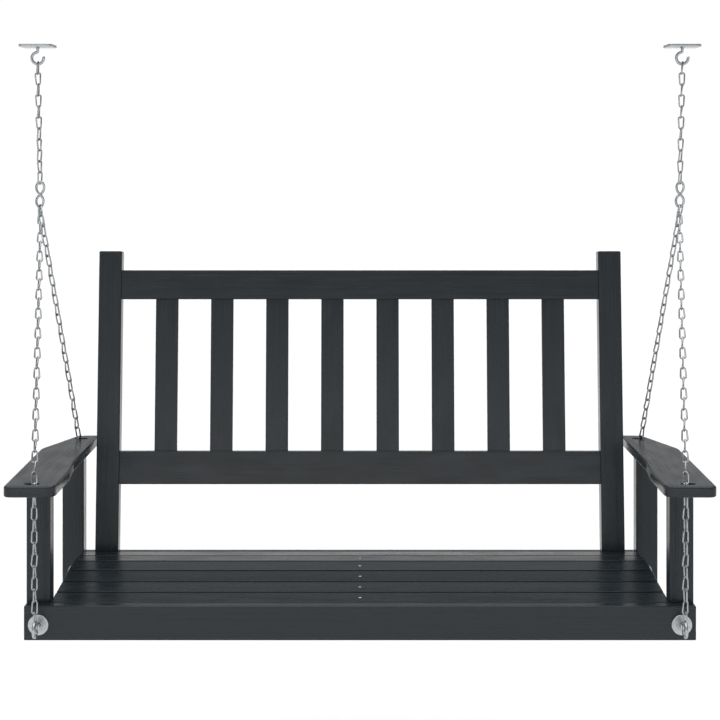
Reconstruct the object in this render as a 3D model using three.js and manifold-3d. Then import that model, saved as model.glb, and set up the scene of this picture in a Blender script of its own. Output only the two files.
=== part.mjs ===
// A two-seat porch swing of painted timber, hung on chains from two ceiling hooks.
// Millimetres, +Z up, the front of the seat faces -Y. The bench is drawn with its own zero at
// the front face and the underside of the apron, then hung below the hooks.

import * as THREE from 'three';
import { mergeVertices } from 'three/addons/utils/BufferGeometryUtils.js';
import Module from 'manifold-3d';

const wasm = await Module();
wasm.setup();

// ---------------------------------------------------------------- sizes

const fit = 0.3;                 // gap kept between faces that are glued, screwed or bolted
const holeClearance = 0.35;      // added to a bolt's radius for its hole

const benchWidth = 1150;         // length of the apron and of the rear rail
const benchDepth = 449;          // front face of the apron to back face of the rear rail
const railThickness = 23.5;      // apron, rear rail, back rails and centre support
const apronHeight = 59;
const rearRailHeight = 55;
const sideRailThickness = 20.5;

const postWidth = 41.5;          // arm posts, across the bench
const postDepth = 36;            // arm posts, front to back
const armTopHeight = 273.6;      // top of the armrest above the apron's underside
const armThickness = 18.5;

const seatSlatCount = 6;
const seatSlatThickness = 15;
const seatSlatGap = 6;
const rearSlatGap = 2;           // between the last slat and the posts behind it
const seatFrontRise = 0.5;       // top of the seat above the apron's top, from the front to the rear
const seatSwellRise = 7.1;
const seatCrestRise = 15.4;
const seatRearRise = 5.5;

const backLean = 5.5;            // degrees
const backPostWidth = 44.8;
const backPostDepth = 33.5;
const backPostTop = 586;         // these are measured up the leaning post from the rear rail's top
const topRailDrop = 37.5;        // top of the top rail below the top of the post
const topRailHeight = 57;
const bottomRailTop = 197;
const bottomRailHeight = 63.5;
const backPostFoot = 53;         // length of the post below the rear rail's top
const backRailSetback = 2;       // rails sit this far behind the front of the back posts
const backSlatCount = 8;
const backSlatWidth = 44;
const backSlatThickness = 10;
const backEndGapExtra = 2.6;     // the two end gaps are this much wider than the others
const mortiseDepth = 12;

const armFrontOverhang = 58;     // armrest beyond the front of the apron
const armRearOverhang = 36.5;    // armrest beyond the back of the rear rail
const armOuterOverhang = 25;     // armrest beyond the outer faces of the posts
const armInnerOverhang = 21.5;
const armFlare = 4.8;            // the outer edge spreads this much towards the kink
const armTaper = 46;             // and comes in this much from the kink to the rear
const armKinkFromRear = 157.5;
const armWaist = 7.5;            // the inner edge steps outward by this much behind the front part
const armWaistStart = 153;       // where the step starts and ends, from the armrest's front
const armWaistEnd = 243;

const slotLength = 25.5;
const slotWidth = 15;
const frontSlotInset = 19.5;     // slot centres in from the outer faces of the posts
const rearSlotInset = 28.5;
const rearSlotBehindPost = 19.5; // rear slot's centre behind the rear arm post

const eyeBoltDiameter = 8;
const eyeWire = 6.5;             // wire of the eye ring
const eyeOuterDiameter = 30;
const eyeReach = 32;             // centre of the ring from the face of the timber
const eyeHeight = 27;
const eyeInset = 25;             // eye bolts in from the ends of the rails
const outerWasherDiameter = 35;
const innerWasherLargest = 27;   // kept smaller where it would meet the side rail
const washerThickness = 2;
const nutAcrossFlats = 13;
const nutThickness = 6.5;
const boltEnd = 4;               // thread past the nut

const backBoltDiameter = 8;
const backBoltHeight = 43;
const backBoltHead = 19;
const backBoltHeadHeight = 4;
const counterboreDiameter = 19;
const counterboreDepth = 10;

const chainWidth = 6;            // plain rod that stands for a run of links
const linkPitch = 20;
const upperChainLinks = 11;
const chainToRing = 0.8;         // clear space between a chain's rod and the ring that holds it
const hookLead = 2;              // more of it at the hook, where the chain swings
const chainToApex = 13;          // lower chains' rods stop this far from the connector's bearing point
const slotLead = 3;              // a chain runs upright from this far below its slot
const chainSpread = 1.5;         // and this much further out there than at its eye bolt
const hangPointOutset = 22.3;    // connector, out past the ends of the apron
const hangPointShare = 0.6156;   // connector's place over the balance point, as a share of the depth
const hangPointHeight = 733;     // connector's bearing point above the apron's underside
const hookSpread = 4.3;          // the hooks are this much further out than the connectors

const connectorWire = 4.6;
const connectorHeight = 51.5;
const connectorWidth = 18.5;
const connectorFullness = 0.45;   // 0 for slim loops, towards 1 for full ones
const connectorSeam = 0.012;     // share of the wire's loop left open between its two ends

const hookWire = 5.5;
const hookBendRadius = 11;       // centre line of the bend
const hookNeck = 9;
const hookOpening = 75;          // degrees of the bend left open
const plateWidth = 62;
const plateThickness = 5;
const plateScrewHole = 5.5;
const plateScrewInset = 10;

// ---------------------------------------------------------------- materials

const paint = new THREE.MeshStandardMaterial({ color: 0x35393c, roughness: 0.45, metalness: 0 });
const galvanised = new THREE.MeshStandardMaterial({ color: 0xb4b7ba, roughness: 0.35, metalness: 1 });

// ---------------------------------------------------------------- solids

function toSolid(geometry) {
  const plain = geometry.clone();
  plain.deleteAttribute('normal');
  plain.deleteAttribute('uv');
  const merged = mergeVertices(plain, 1e-4);
  return new wasm.Manifold(new wasm.Mesh({
    numProp: 3,
    vertProperties: merged.attributes.position.array,
    triVerts: new Uint32Array(merged.index.array),
  }));
}

function toGeometry(solid) {
  const mesh = solid.getMesh();
  const geometry = new THREE.BufferGeometry();
  geometry.setAttribute('position', new THREE.BufferAttribute(mesh.vertProperties, 3));
  geometry.setIndex(new THREE.BufferAttribute(mesh.triVerts, 1));
  geometry.computeVertexNormals();
  return geometry;
}

function cut(geometry, tools) {
  return toGeometry(tools.reduce((solid, tool) => solid.subtract(toSolid(tool)), toSolid(geometry)));
}

function join(geometries) {
  const [first, ...rest] = geometries.map(toSolid);
  return toGeometry(rest.reduce((solid, other) => solid.add(other), first));
}

// A box given by its low and high corners.
function block(low, high) {
  const size = high.map((value, i) => value - low[i]);
  const middle = high.map((value, i) => (value + low[i]) / 2);
  return new THREE.BoxGeometry(...size).translate(...middle);
}

// A cylinder from one end point, along 'x', 'y' or 'z'.
function rod(axis, start, length, diameter, sides = 16) {
  const geometry = new THREE.CylinderGeometry(diameter / 2, diameter / 2, length, sides);
  geometry.translate(0, length / 2, 0);
  if (axis === 'x') geometry.rotateZ(-Math.PI / 2);
  if (axis === 'z') geometry.rotateX(Math.PI / 2);
  return geometry.translate(...start);
}

// A closed outline through corners [x, y, radius], each rounded by its radius.
function roundedShape(corners) {
  const shape = new THREE.Shape();
  corners.forEach(([x, y, radius], i) => {
    const corner = new THREE.Vector2(x, y);
    const before = corners[(i + corners.length - 1) % corners.length];
    const after = corners[(i + 1) % corners.length];
    const toBefore = new THREE.Vector2(before[0] - x, before[1] - y).normalize();
    const toAfter = new THREE.Vector2(after[0] - x, after[1] - y).normalize();
    const halfTurn = Math.acos(THREE.MathUtils.clamp(toBefore.dot(toAfter), -1, 1)) / 2;
    const reach = radius / Math.tan(halfTurn);
    const start = corner.clone().addScaledVector(toBefore, reach);
    const end = corner.clone().addScaledVector(toAfter, reach);
    if (i === 0) shape.moveTo(start.x, start.y);
    else shape.lineTo(start.x, start.y);
    if (radius > 0) shape.quadraticCurveTo(x, y, end.x, end.y);
  });
  shape.closePath();
  return shape;
}

function slab(shape, thickness) {
  return new THREE.ExtrudeGeometry(shape, { depth: thickness, bevelEnabled: false, curveSegments: 5 });
}

// A slab drawn in the side view: the shape's x runs back along Y, its y runs up, its depth along X.
function sideSlab(shape, thickness) {
  const turn = new THREE.Matrix4().makeBasis(
    new THREE.Vector3(0, 1, 0), new THREE.Vector3(0, 0, 1), new THREE.Vector3(1, 0, 0));
  return slab(shape, thickness).applyMatrix4(turn);
}

function circle(diameter, sides) {
  const points = Array.from({ length: sides }, (_, i) => {
    const angle = 2 * Math.PI * i / sides;
    return new THREE.Vector2(Math.cos(angle), Math.sin(angle)).multiplyScalar(diameter / 2);
  });
  return new THREE.Shape(points);
}

function wireAlong(curve, diameter, steps, sides = 8) {
  return new THREE.ExtrudeGeometry(circle(diameter, sides), { extrudePath: curve, steps });
}

// A flat ring with its axis along Y, from y = 0 to y = thickness.
function washer(outer, inner, thickness) {
  const shape = circle(outer, 24);
  shape.holes.push(circle(inner, 12));
  return slab(shape, thickness).rotateX(-Math.PI / 2);
}

function hexNut(acrossFlats, inner, thickness) {
  const shape = circle(acrossFlats / Math.cos(Math.PI / 6), 6);
  shape.holes.push(circle(inner, 12));
  return slab(shape, thickness).rotateX(-Math.PI / 2);
}

function addPiece(group, name, geometry, material) {
  const mesh = new THREE.Mesh(geometry, material);
  mesh.name = name;
  group.add(mesh);
  return mesh;
}

const sides = [{ name: 'left', sign: -1 }, { name: 'right', sign: 1 }];

// Low and high x of a piece that lies between two distances from the middle, on one side.
function span(sign, inner, outer) {
  return sign > 0 ? [inner, outer] : [-outer, -inner];
}

// ---------------------------------------------------------------- places

const halfWidth = benchWidth / 2;
const postInnerX = halfWidth - postWidth;
const sideRailOuterX = postInnerX - fit;
const sideRailInnerX = sideRailOuterX - sideRailThickness;
const backPostOuterX = sideRailInnerX - fit;
const backPostInnerX = backPostOuterX - backPostWidth;

const apronBackY = railThickness;
const frontPostY = apronBackY + fit;
const rearRailY = benchDepth - railThickness;
const rearPostY = rearRailY - fit - postDepth;
const postTopZ = armTopHeight - armThickness - fit;
const eyeX = halfWidth - eyeInset;
const innerWasherDiameter = Math.min(innerWasherLargest, 2 * (eyeX - sideRailOuterX - 2 * fit));

const bench = new THREE.Group();
const eyeHole = eyeBoltDiameter + 2 * holeClearance;
const eyeHoles = (fromY, length) =>
  sides.map(({ sign }) => rod('y', [sign * eyeX, fromY, eyeHeight], length, eyeHole));

// ---------------------------------------------------------------- apron, rails and posts

const cutPast = 1;               // cutting tools run this far past the timber
const throughRail = railThickness + 2 * cutPast;
const throughPost = postDepth + 2 * cutPast;

addPiece(bench, 'front_apron', cut(
  block([-halfWidth, 0, 0], [halfWidth, apronBackY, apronHeight]),
  eyeHoles(-cutPast, throughRail)), paint);
addPiece(bench, 'rear_seat_rail', cut(
  block([-halfWidth, rearRailY, 0], [halfWidth, benchDepth, rearRailHeight]),
  eyeHoles(rearRailY - cutPast, throughRail)), paint);

const backBoltY = rearPostY + postDepth / 2;
const backBoltHole = backBoltDiameter + 2 * holeClearance;

sides.forEach(({ name, sign }) => {
  const [low, high] = span(sign, postInnerX, halfWidth);
  const boltHole = rod('x', [low - cutPast, backBoltY, backBoltHeight],
    postWidth + 2 * cutPast, backBoltHole);
  const boreStart = sign > 0 ? high - counterboreDepth : low - cutPast;
  const counterbore = rod('x', [boreStart, backBoltY, backBoltHeight],
    counterboreDepth + cutPast, counterboreDiameter);
  addPiece(bench, `front_arm_post_${name}`, cut(
    block([low, frontPostY, 0], [high, frontPostY + postDepth, postTopZ]),
    [rod('y', [sign * eyeX, frontPostY - cutPast, eyeHeight], throughPost, eyeHole)]), paint);
  addPiece(bench, `rear_arm_post_${name}`, cut(
    block([low, rearPostY, 0], [high, rearPostY + postDepth, postTopZ]),
    [rod('y', [sign * eyeX, rearPostY - cutPast, eyeHeight], throughPost, eyeHole), boltHole, counterbore]),
  paint);
});

// ---------------------------------------------------------------- seat

// The top of the seat seen from the side: it swells from the apron to a crest, then falls.
const seatFrontY = apronBackY + fit;
const seatRearY = rearRailY - fit - Math.max(postDepth, backPostDepth) - rearSlatGap;
const seatRun = seatRearY - seatFrontY;
const seatCurve = new THREE.SplineCurve([
  new THREE.Vector2(seatFrontY, apronHeight + seatFrontRise),
  new THREE.Vector2(seatFrontY + seatRun / 3, apronHeight + seatSwellRise),
  new THREE.Vector2(seatFrontY + seatRun * 2 / 3, apronHeight + seatCrestRise),
  new THREE.Vector2(seatRearY, apronHeight + seatRearRise),
]);
const seatLength = seatCurve.getLength();
const seatSlatStep = (seatLength + seatSlatGap) / seatSlatCount;
const seatSlats = Array.from({ length: seatSlatCount }, (_, i) => {
  const start = i * seatSlatStep;
  const end = Math.min(seatLength, start + seatSlatStep - seatSlatGap);
  const front = seatCurve.getPointAt(start / seatLength);
  const rear = seatCurve.getPointAt(end / seatLength);
  const along = rear.clone().sub(front);
  const up = new THREE.Vector2(-along.y, along.x).normalize();
  return { front, rear, up, width: along.length(), tilt: along.angle() };
});

seatSlats.forEach(({ front, rear, up, width, tilt }, i) => {
  const middle = front.clone().add(rear).multiplyScalar(0.5).addScaledVector(up, -seatSlatThickness / 2);
  const slat = addPiece(bench, `seat_slat_${i + 1}`,
    new THREE.BoxGeometry(2 * sideRailOuterX, width, seatSlatThickness), paint);
  slat.position.set(0, middle.x, middle.y);
  slat.rotation.x = tilt;
});

// The rails under the seat are cut to the underside of the slats, with a stop behind the last one.
const railBedDepth = seatSlatThickness + fit;
const stopY = seatRearY + fit;
const railBed = seatSlats.flatMap(({ front, rear, up }) =>
  [front, rear].map((point) => point.clone().addScaledVector(up, -railBedDepth)));
const railOutline = new THREE.Shape([
  new THREE.Vector2(seatFrontY, 0),
  new THREE.Vector2(rearRailY - fit, 0),
  new THREE.Vector2(rearRailY - fit, rearRailHeight),
  new THREE.Vector2(stopY, rearRailHeight),
  new THREE.Vector2(stopY, railBed.at(-1).y),
  ...railBed.slice(1).reverse(),
  new THREE.Vector2(seatFrontY, railBed[0].y),
]);

sides.forEach(({ name, sign }) => {
  const [low] = span(sign, sideRailInnerX, sideRailOuterX);
  addPiece(bench, `side_rail_${name}`, cut(
    sideSlab(railOutline, sideRailThickness).translate(low, 0, 0),
    [rod('x', [low - cutPast, backBoltY, backBoltHeight], sideRailThickness + 2 * cutPast, backBoltHole)]),
  paint);
});
addPiece(bench, 'centre_support',
  sideSlab(railOutline, railThickness).translate(-railThickness / 2, 0, 0), paint);

// ---------------------------------------------------------------- back

// Drawn upright in a group that leans: y = 0 is the back face of its posts, z = 0 the height where
// that face meets the rear rail.
const back = new THREE.Group();
back.position.set(0, rearRailY - fit, rearRailHeight);
back.rotation.x = -THREE.MathUtils.degToRad(backLean);
bench.add(back);

const backBoltInBack = new THREE.Vector3(0, backBoltY, backBoltHeight)
  .sub(back.position).applyEuler(new THREE.Euler(-back.rotation.x, 0, 0));

sides.forEach(({ name, sign }) => {
  const [low, high] = span(sign, backPostInnerX, backPostOuterX);
  addPiece(back, `back_post_${name}`, cut(
    block([low, -backPostDepth, -backPostFoot], [high, 0, backPostTop]),
    [rod('x', [low - cutPast, backBoltInBack.y, backBoltInBack.z],
      backPostWidth + 2 * cutPast, backBoltHole)]), paint);
});

const backRailEndX = backPostInnerX - fit;
const backRailFrontY = -backPostDepth + backRailSetback;
const backRailMiddleY = backRailFrontY + railThickness / 2;
const slatFrontY = backRailMiddleY - backSlatThickness / 2;
const slatRoom = 2 * backPostInnerX - 2 * backEndGapExtra;
const slatGap = (slatRoom - backSlatCount * backSlatWidth) / (backSlatCount + 1);
const slatPitch = backSlatWidth + slatGap;
const slatXs = Array.from({ length: backSlatCount }, (_, i) => (i - (backSlatCount - 1) / 2) * slatPitch);
const bottomRailBottom = bottomRailTop - bottomRailHeight;
const topRailTop = backPostTop - topRailDrop;
const topRailBottom = topRailTop - topRailHeight;

function mortises(low, high) {
  return slatXs.map((x) => block(
    [x - backSlatWidth / 2 - fit, slatFrontY - fit, low],
    [x + backSlatWidth / 2 + fit, slatFrontY + backSlatThickness + fit, high]));
}

addPiece(back, 'top_back_rail', cut(
  block([-backRailEndX, backRailFrontY, topRailBottom],
    [backRailEndX, backRailFrontY + railThickness, topRailTop]),
  mortises(topRailBottom - cutPast, topRailBottom + mortiseDepth)), paint);
addPiece(back, 'bottom_back_rail', cut(
  block([-backRailEndX, backRailFrontY, bottomRailBottom],
    [backRailEndX, backRailFrontY + railThickness, bottomRailTop]),
  mortises(bottomRailTop - mortiseDepth, bottomRailTop + cutPast)), paint);

slatXs.forEach((x, i) => addPiece(back, `back_slat_${i + 1}`, block(
  [x - backSlatWidth / 2, slatFrontY, bottomRailTop - mortiseDepth + fit],
  [x + backSlatWidth / 2, slatFrontY + backSlatThickness, topRailBottom + mortiseDepth - fit]), paint));

// ---------------------------------------------------------------- armrests

const armFrontY = -armFrontOverhang;
const armRearY = benchDepth + armRearOverhang;
const armInnerX = postInnerX - armInnerOverhang;
const armOuterX = halfWidth + armOuterOverhang;
const frontSlot = { x: halfWidth - frontSlotInset, y: -eyeReach + 2 };
const rearSlot = { x: halfWidth - rearSlotInset, y: rearRailY - fit + rearSlotBehindPost };

function armOutline(sign) {
  const corners = [
    [armInnerX, armFrontY, 22],
    [armOuterX, armFrontY, 15],
    [armOuterX + armFlare, armRearY - armKinkFromRear, 70],
    [armOuterX + armFlare - armTaper, armRearY, 26],
    [armInnerX + armWaist - 1.5, armRearY, 6],
    [armInnerX + armWaist, armFrontY + armWaistEnd, 150],
    [armInnerX, armFrontY + armWaistStart, 150],
  ];
  const shape = roundedShape(corners.map(([x, y, radius]) => [sign * x, y, radius]));
  const straight = slotLength / 2 - slotWidth / 2;
  [frontSlot, rearSlot].forEach(({ x, y }) => {
    const slot = new THREE.Path();
    slot.absarc(sign * x + straight, y, slotWidth / 2, -Math.PI / 2, Math.PI / 2);
    slot.absarc(sign * x - straight, y, slotWidth / 2, Math.PI / 2, Math.PI * 3 / 2);
    slot.closePath();
    shape.holes.push(slot);
  });
  return shape;
}

sides.forEach(({ name, sign }) => addPiece(bench, `armrest_${name}`,
  slab(armOutline(sign), armThickness).translate(0, 0, armTopHeight - armThickness), paint));

// ---------------------------------------------------------------- eye bolts

const eyeRingRadius = (eyeOuterDiameter - eyeWire) / 2;

// An eye bolt that enters timber at y = 0 and runs towards +Y through it, its ring in front.
function eyeBolt(grip) {
  const ring = new THREE.TorusGeometry(eyeRingRadius, eyeWire / 2, 8, 24).rotateY(Math.PI / 2);
  const shankStart = -eyeReach + eyeRingRadius;
  const shankEnd = grip + 2 * washerThickness + nutThickness + boltEnd;
  return join([
    ring.translate(0, -eyeReach, 0),
    rod('y', [0, shankStart, 0], shankEnd - shankStart, eyeBoltDiameter),
  ]);
}

const grip = railThickness + fit + postDepth;
const eyeEnds = [
  { end: 'front', faceY: 0, turn: 0 },
  { end: 'rear', faceY: benchDepth, turn: Math.PI },
];

eyeEnds.forEach(({ end, faceY, turn }) => sides.forEach(({ name, sign }) => {
  const set = new THREE.Group();
  set.position.set(sign * eyeX, faceY, eyeHeight);
  set.rotation.z = turn;
  bench.add(set);
  addPiece(set, `eye_bolt_${end}_${name}`, eyeBolt(grip), galvanised);
  const washers = [
    { place: 'outer', diameter: outerWasherDiameter, y: -fit - washerThickness },
    { place: 'inner', diameter: innerWasherDiameter, y: grip + fit },
  ];
  washers.forEach(({ place, diameter, y }) => addPiece(set, `${place}_washer_${end}_${name}`,
    washer(diameter, eyeHole, washerThickness).translate(0, y, 0), galvanised));
  const nutY = grip + washerThickness + 2 * fit;
  addPiece(set, `nut_${end}_${name}`,
    hexNut(nutAcrossFlats, eyeHole, nutThickness).translate(0, nutY, 0), galvanised);
}));

// ---------------------------------------------------------------- back bolts

sides.forEach(({ name, sign }) => {
  const headX = backPostInnerX - fit;
  const nutX = halfWidth - counterboreDepth + fit;
  const set = new THREE.Group();
  set.position.set(0, backBoltY, backBoltHeight);
  set.rotation.z = -sign * Math.PI / 2;
  bench.add(set);
  const head = rod('y', [0, headX - backBoltHeadHeight, 0], backBoltHeadHeight, backBoltHead);
  const shank = rod('y', [0, headX - 1, 0], halfWidth - 1.5 - headX, backBoltDiameter);
  addPiece(set, `back_bolt_${name}`, join([head, shank]), galvanised);
  addPiece(set, `back_bolt_nut_${name}`,
    hexNut(nutAcrossFlats, backBoltHole, nutThickness).translate(0, nutX, 0), galvanised);
});

// ---------------------------------------------------------------- chains and fittings

const hangX = halfWidth + hangPointOutset;
const hangY = benchDepth * hangPointShare;
const hangZ = hangPointHeight;
const ringTopZ = eyeHeight + eyeRingRadius;
const rodStart = eyeWire / 2 + chainToRing;

function runOfChain(points) {
  const curve = new THREE.CatmullRomCurve3(points, false, 'catmullrom', 0.25);
  return wireAlong(curve, chainWidth, 18);
}

sides.forEach(({ name, sign }) => {
  const apex = new THREE.Vector3(sign * hangX, hangY, hangZ);
  const runs = [
    { end: 'front', slotY: frontSlot.y, eyeY: -eyeReach },
    { end: 'rear', slotY: rearSlot.y, eyeY: benchDepth + eyeReach },
  ];
  runs.forEach(({ end, slotY, eyeY }) => {
    const intoSlot = new THREE.Vector3(
      sign * (eyeX + chainSpread), slotY, armTopHeight - armThickness - slotLead);
    const outOfSlot = intoSlot.clone().setZ(armTopHeight + slotLead / 3);
    const above = apex.clone().sub(outOfSlot).normalize();
    addPiece(bench, `chain_${end}_${name}`, runOfChain([
      new THREE.Vector3(sign * eyeX, eyeY, ringTopZ + rodStart),
      intoSlot,
      outOfSlot,
      apex.clone().addScaledVector(above, -chainToApex),
    ]), galvanised);
  });
});

// The connector is a wire bent into a figure of eight, its loops facing front, its ends butting
// behind the upper loop. z = 0 is the middle of the wire at the foot of the lower loop.
class FigureEight extends THREE.Curve {
  getPoint(t, target = new THREE.Vector3()) {
    const angle = Math.PI + 2 * Math.PI * (connectorSeam / 2 + t * (1 - connectorSeam));
    const reach = (connectorHeight - connectorWire) / 2;
    const half = (connectorWidth - connectorWire) / 2;
    const rise = Math.cos(angle) * (1 - connectorFullness * Math.sin(angle) ** 2);
    const z = reach * (1 - rise);
    const x = half * Math.sin(2 * angle) * 1.03;
    const y = connectorWire * 0.56 * Math.sin(angle);
    return target.set(x, y, z);
  }
}

const connectorBearing = connectorWire / 2;
const connectorTopZ = connectorHeight - connectorWire;
const hookDrop = connectorTopZ + upperChainLinks * linkPitch;
const hangers = new THREE.Group();
sides.forEach(({ name, sign }) => {
  const connector = addPiece(hangers, `connector_${name}`,
    wireAlong(new FigureEight(), connectorWire, 48), galvanised);
  connector.position.set(sign * hangX, 0, -hookDrop);
  addPiece(hangers, `chain_upper_${name}`, wireAlong(new THREE.LineCurve3(
    new THREE.Vector3(sign * hangX, 0, connectorTopZ + connectorBearing + chainToRing - hookDrop),
    new THREE.Vector3(sign * (hangX + hookSpread), 0, -hookWire / 2 - chainToRing - hookLead)),
  chainWidth, 1), galvanised);
});

// A square plate with a hook welded under it. z = 0 is the middle of the wire where the chain hangs.
const hookTopZ = 2 * hookBendRadius + hookNeck;
function ceilingHook() {
  const bend = Array.from({ length: 25 }, (_, i) => {
    const angle = THREE.MathUtils.degToRad(90 + i * (360 - hookOpening) / 24);
    return new THREE.Vector3(
      hookBendRadius * Math.cos(angle), 0, hookBendRadius * (1 + Math.sin(angle)));
  });
  const path = new THREE.CatmullRomCurve3([
    new THREE.Vector3(0, 0, hookTopZ + plateThickness / 2),
    new THREE.Vector3(0, 0, hookTopZ - hookNeck * 0.45),
    ...bend.slice(1),
  ]);
  const plate = block([-plateWidth / 2, -plateWidth / 2, hookTopZ],
    [plateWidth / 2, plateWidth / 2, hookTopZ + plateThickness]);
  const inset = plateWidth / 2 - plateScrewInset;
  const holes = [[-1, -1], [-1, 1], [1, -1], [1, 1]].map(([x, y]) =>
    rod('z', [x * inset, y * inset, hookTopZ - cutPast], plateThickness + 2 * cutPast, plateScrewHole));
  return cut(join([plate, wireAlong(path, hookWire, 36)]), holes);
}

// ---------------------------------------------------------------- hang it together

const hingeZ = -hookTopZ - plateThickness;   // the chains swing on the hooks at this height
const swing = new THREE.Group();
sides.forEach(({ name, sign }) => {
  const hook = addPiece(swing, `ceiling_hook_${name}`, ceilingHook(), galvanised);
  hook.position.set(sign * (hangX + hookSpread), 0, hingeZ);
});
hangers.position.set(0, 0, hingeZ);
bench.position.set(0, -hangY, hingeZ - hookDrop - hangZ);
swing.add(hangers, bench);

export default swing;
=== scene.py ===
import math

import bmesh
import bpy
from mathutils import Matrix, Vector


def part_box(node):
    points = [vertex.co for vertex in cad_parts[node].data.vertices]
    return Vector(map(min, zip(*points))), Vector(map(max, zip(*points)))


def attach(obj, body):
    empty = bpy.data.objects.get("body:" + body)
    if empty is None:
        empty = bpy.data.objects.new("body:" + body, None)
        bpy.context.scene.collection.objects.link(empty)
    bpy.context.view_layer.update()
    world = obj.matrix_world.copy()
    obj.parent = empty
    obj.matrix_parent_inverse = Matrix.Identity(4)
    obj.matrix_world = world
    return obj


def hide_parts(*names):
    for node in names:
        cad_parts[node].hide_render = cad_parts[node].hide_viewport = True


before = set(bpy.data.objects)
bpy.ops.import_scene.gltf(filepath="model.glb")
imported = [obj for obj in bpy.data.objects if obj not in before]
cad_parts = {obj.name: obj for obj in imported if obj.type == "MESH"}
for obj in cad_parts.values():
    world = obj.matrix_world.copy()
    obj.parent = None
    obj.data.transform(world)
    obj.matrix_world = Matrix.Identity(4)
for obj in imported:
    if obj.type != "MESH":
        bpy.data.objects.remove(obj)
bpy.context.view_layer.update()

bothSides = (("left", -1), ("right", 1))
bothEnds = ("front", "rear")


# Small helpers

def millimetres(value):
    return value / 1000


def toLinear(hexColour):
    channels = [int(hexColour[i:i + 2], 16) / 255 for i in (0, 2, 4)]
    return [c / 12.92 if c <= 0.04045 else ((c + 0.055) / 1.055) ** 2.4 for c in channels] + [1]


def addNode(tree, kind, settings=None, inputs=None):
    node = tree.nodes.new(kind)
    for name, value in (settings or {}).items():
        setattr(node, name, value)
    for name, value in (inputs or {}).items():
        if isinstance(value, bpy.types.NodeSocket):
            tree.links.new(value, node.inputs[name])
        else:
            node.inputs[name].default_value = value
    return node


def newPiece(name, mesh):
    piece = bpy.data.objects.new(name, mesh)
    bpy.context.scene.collection.objects.link(piece)
    return piece


def applied(piece):
    # the piece with its modifiers turned into plain mesh
    depsgraph = bpy.context.evaluated_depsgraph_get()
    mesh = bpy.data.meshes.new_from_object(piece.evaluated_get(depsgraph), depsgraph=depsgraph)
    mesh.name = piece.name
    piece.modifiers.clear()
    if piece.type == "MESH":
        piece.data = mesh
        return piece
    name = piece.name
    bpy.data.objects.remove(piece)
    return newPiece(name, mesh)


def keepFlatFacesFlat(piece):
    level = piece.modifiers.new("flatFaces", "WEIGHTED_NORMAL")
    level.keep_sharp = True
    level.weight = 100


def isSharp(edge, degrees):
    return len(edge.link_faces) == 2 and edge.calc_face_angle() > math.radians(degrees)


def cornersOf(node):
    return [Vector(corner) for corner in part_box(node)]


def setInputs(modifier, values):
    for item in modifier.node_group.interface.items_tree:
        if item.in_out == "INPUT" and item.name in values:
            modifier[item.identifier] = values[item.name]


def middleOf(node):
    low, high = cornersOf(node)
    return (low + high) / 2


# Camera, level and well above the seat, with its picture shifted down to the bench

apronLow, apronHigh = cornersOf("front_apron")

cameraSettings = {
    "distance": 3.0,        # from the front of the apron
    "height": 0.8301,       # above the underside of the apron
    "lens": 87.75,
    "sensorWidth": 36,
    "shiftY": -0.2847,
    "farthest": 100,
}

cameraData = bpy.data.cameras.new("camera")
cameraData.lens = cameraSettings["lens"]
cameraData.sensor_width = cameraSettings["sensorWidth"]
cameraData.shift_y = cameraSettings["shiftY"]
cameraData.clip_end = cameraSettings["farthest"]
camera = bpy.data.objects.new("camera", cameraData)
camera.location = (
    0, apronLow.y - cameraSettings["distance"], apronLow.z + cameraSettings["height"])
camera.rotation_euler = (math.radians(90), 0, 0)
bpy.context.scene.collection.objects.link(camera)
bpy.context.scene.camera = camera
print("camera placed")


# Floor, sky and lights

studio = {
    "floorDrop": 0.42,       # the bench hangs this far above the floor
    "floorSize": 60,
    "floorColour": "f7f7f7",
    "floorRoughness": 0.9,
    "floorGloss": 0.1,
    # brightness of the surround at the horizon and overhead, and the sines of the climb
    # between which it falls
    "skyInFront": {"low": 0.9, "high": 0.3, "start": 0.0, "end": 0.14},
    "skyBehind": {"low": 0.5, "high": 0.22, "start": 0.1, "end": 0.36},
    "turnToBehind": 0.5,     # how far back a direction points before the sky behind takes over
    "white": 1.02,           # brightness of the surround as the camera sees it
    "daylight": {"strength": 2.75, "spread": 80, "tilt": (-6, -4, 0)},
    "highPanel": {"width": 3.4, "height": 1.3, "power": 20, "place": (-1.2, -5.0, 1.9)},
    "lowPanel": {"width": 4.0, "height": 1.0, "power": 14, "place": (-0.3, -5.0, -0.75)},
}


def addFloor():
    half = studio["floorSize"] / 2
    z = apronLow.z - studio["floorDrop"]
    mesh = bpy.data.meshes.new("floor")
    corners = [(-half, -half, z), (half, -half, z), (half, half, z), (-half, half, z)]
    mesh.from_pydata(corners, [], [(0, 1, 2, 3)])
    floor = newPiece("floor", mesh)
    paper = bpy.data.materials.new("seamlessPaper")  # matt white background paper
    paper.use_nodes = True
    shader = paper.node_tree.nodes["Principled BSDF"]
    shader.inputs["Base Color"].default_value = toLinear(studio["floorColour"])
    shader.inputs["Roughness"].default_value = studio["floorRoughness"]
    shader.inputs["Specular IOR Level"].default_value = studio["floorGloss"]
    mesh.materials.append(paper)


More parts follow.
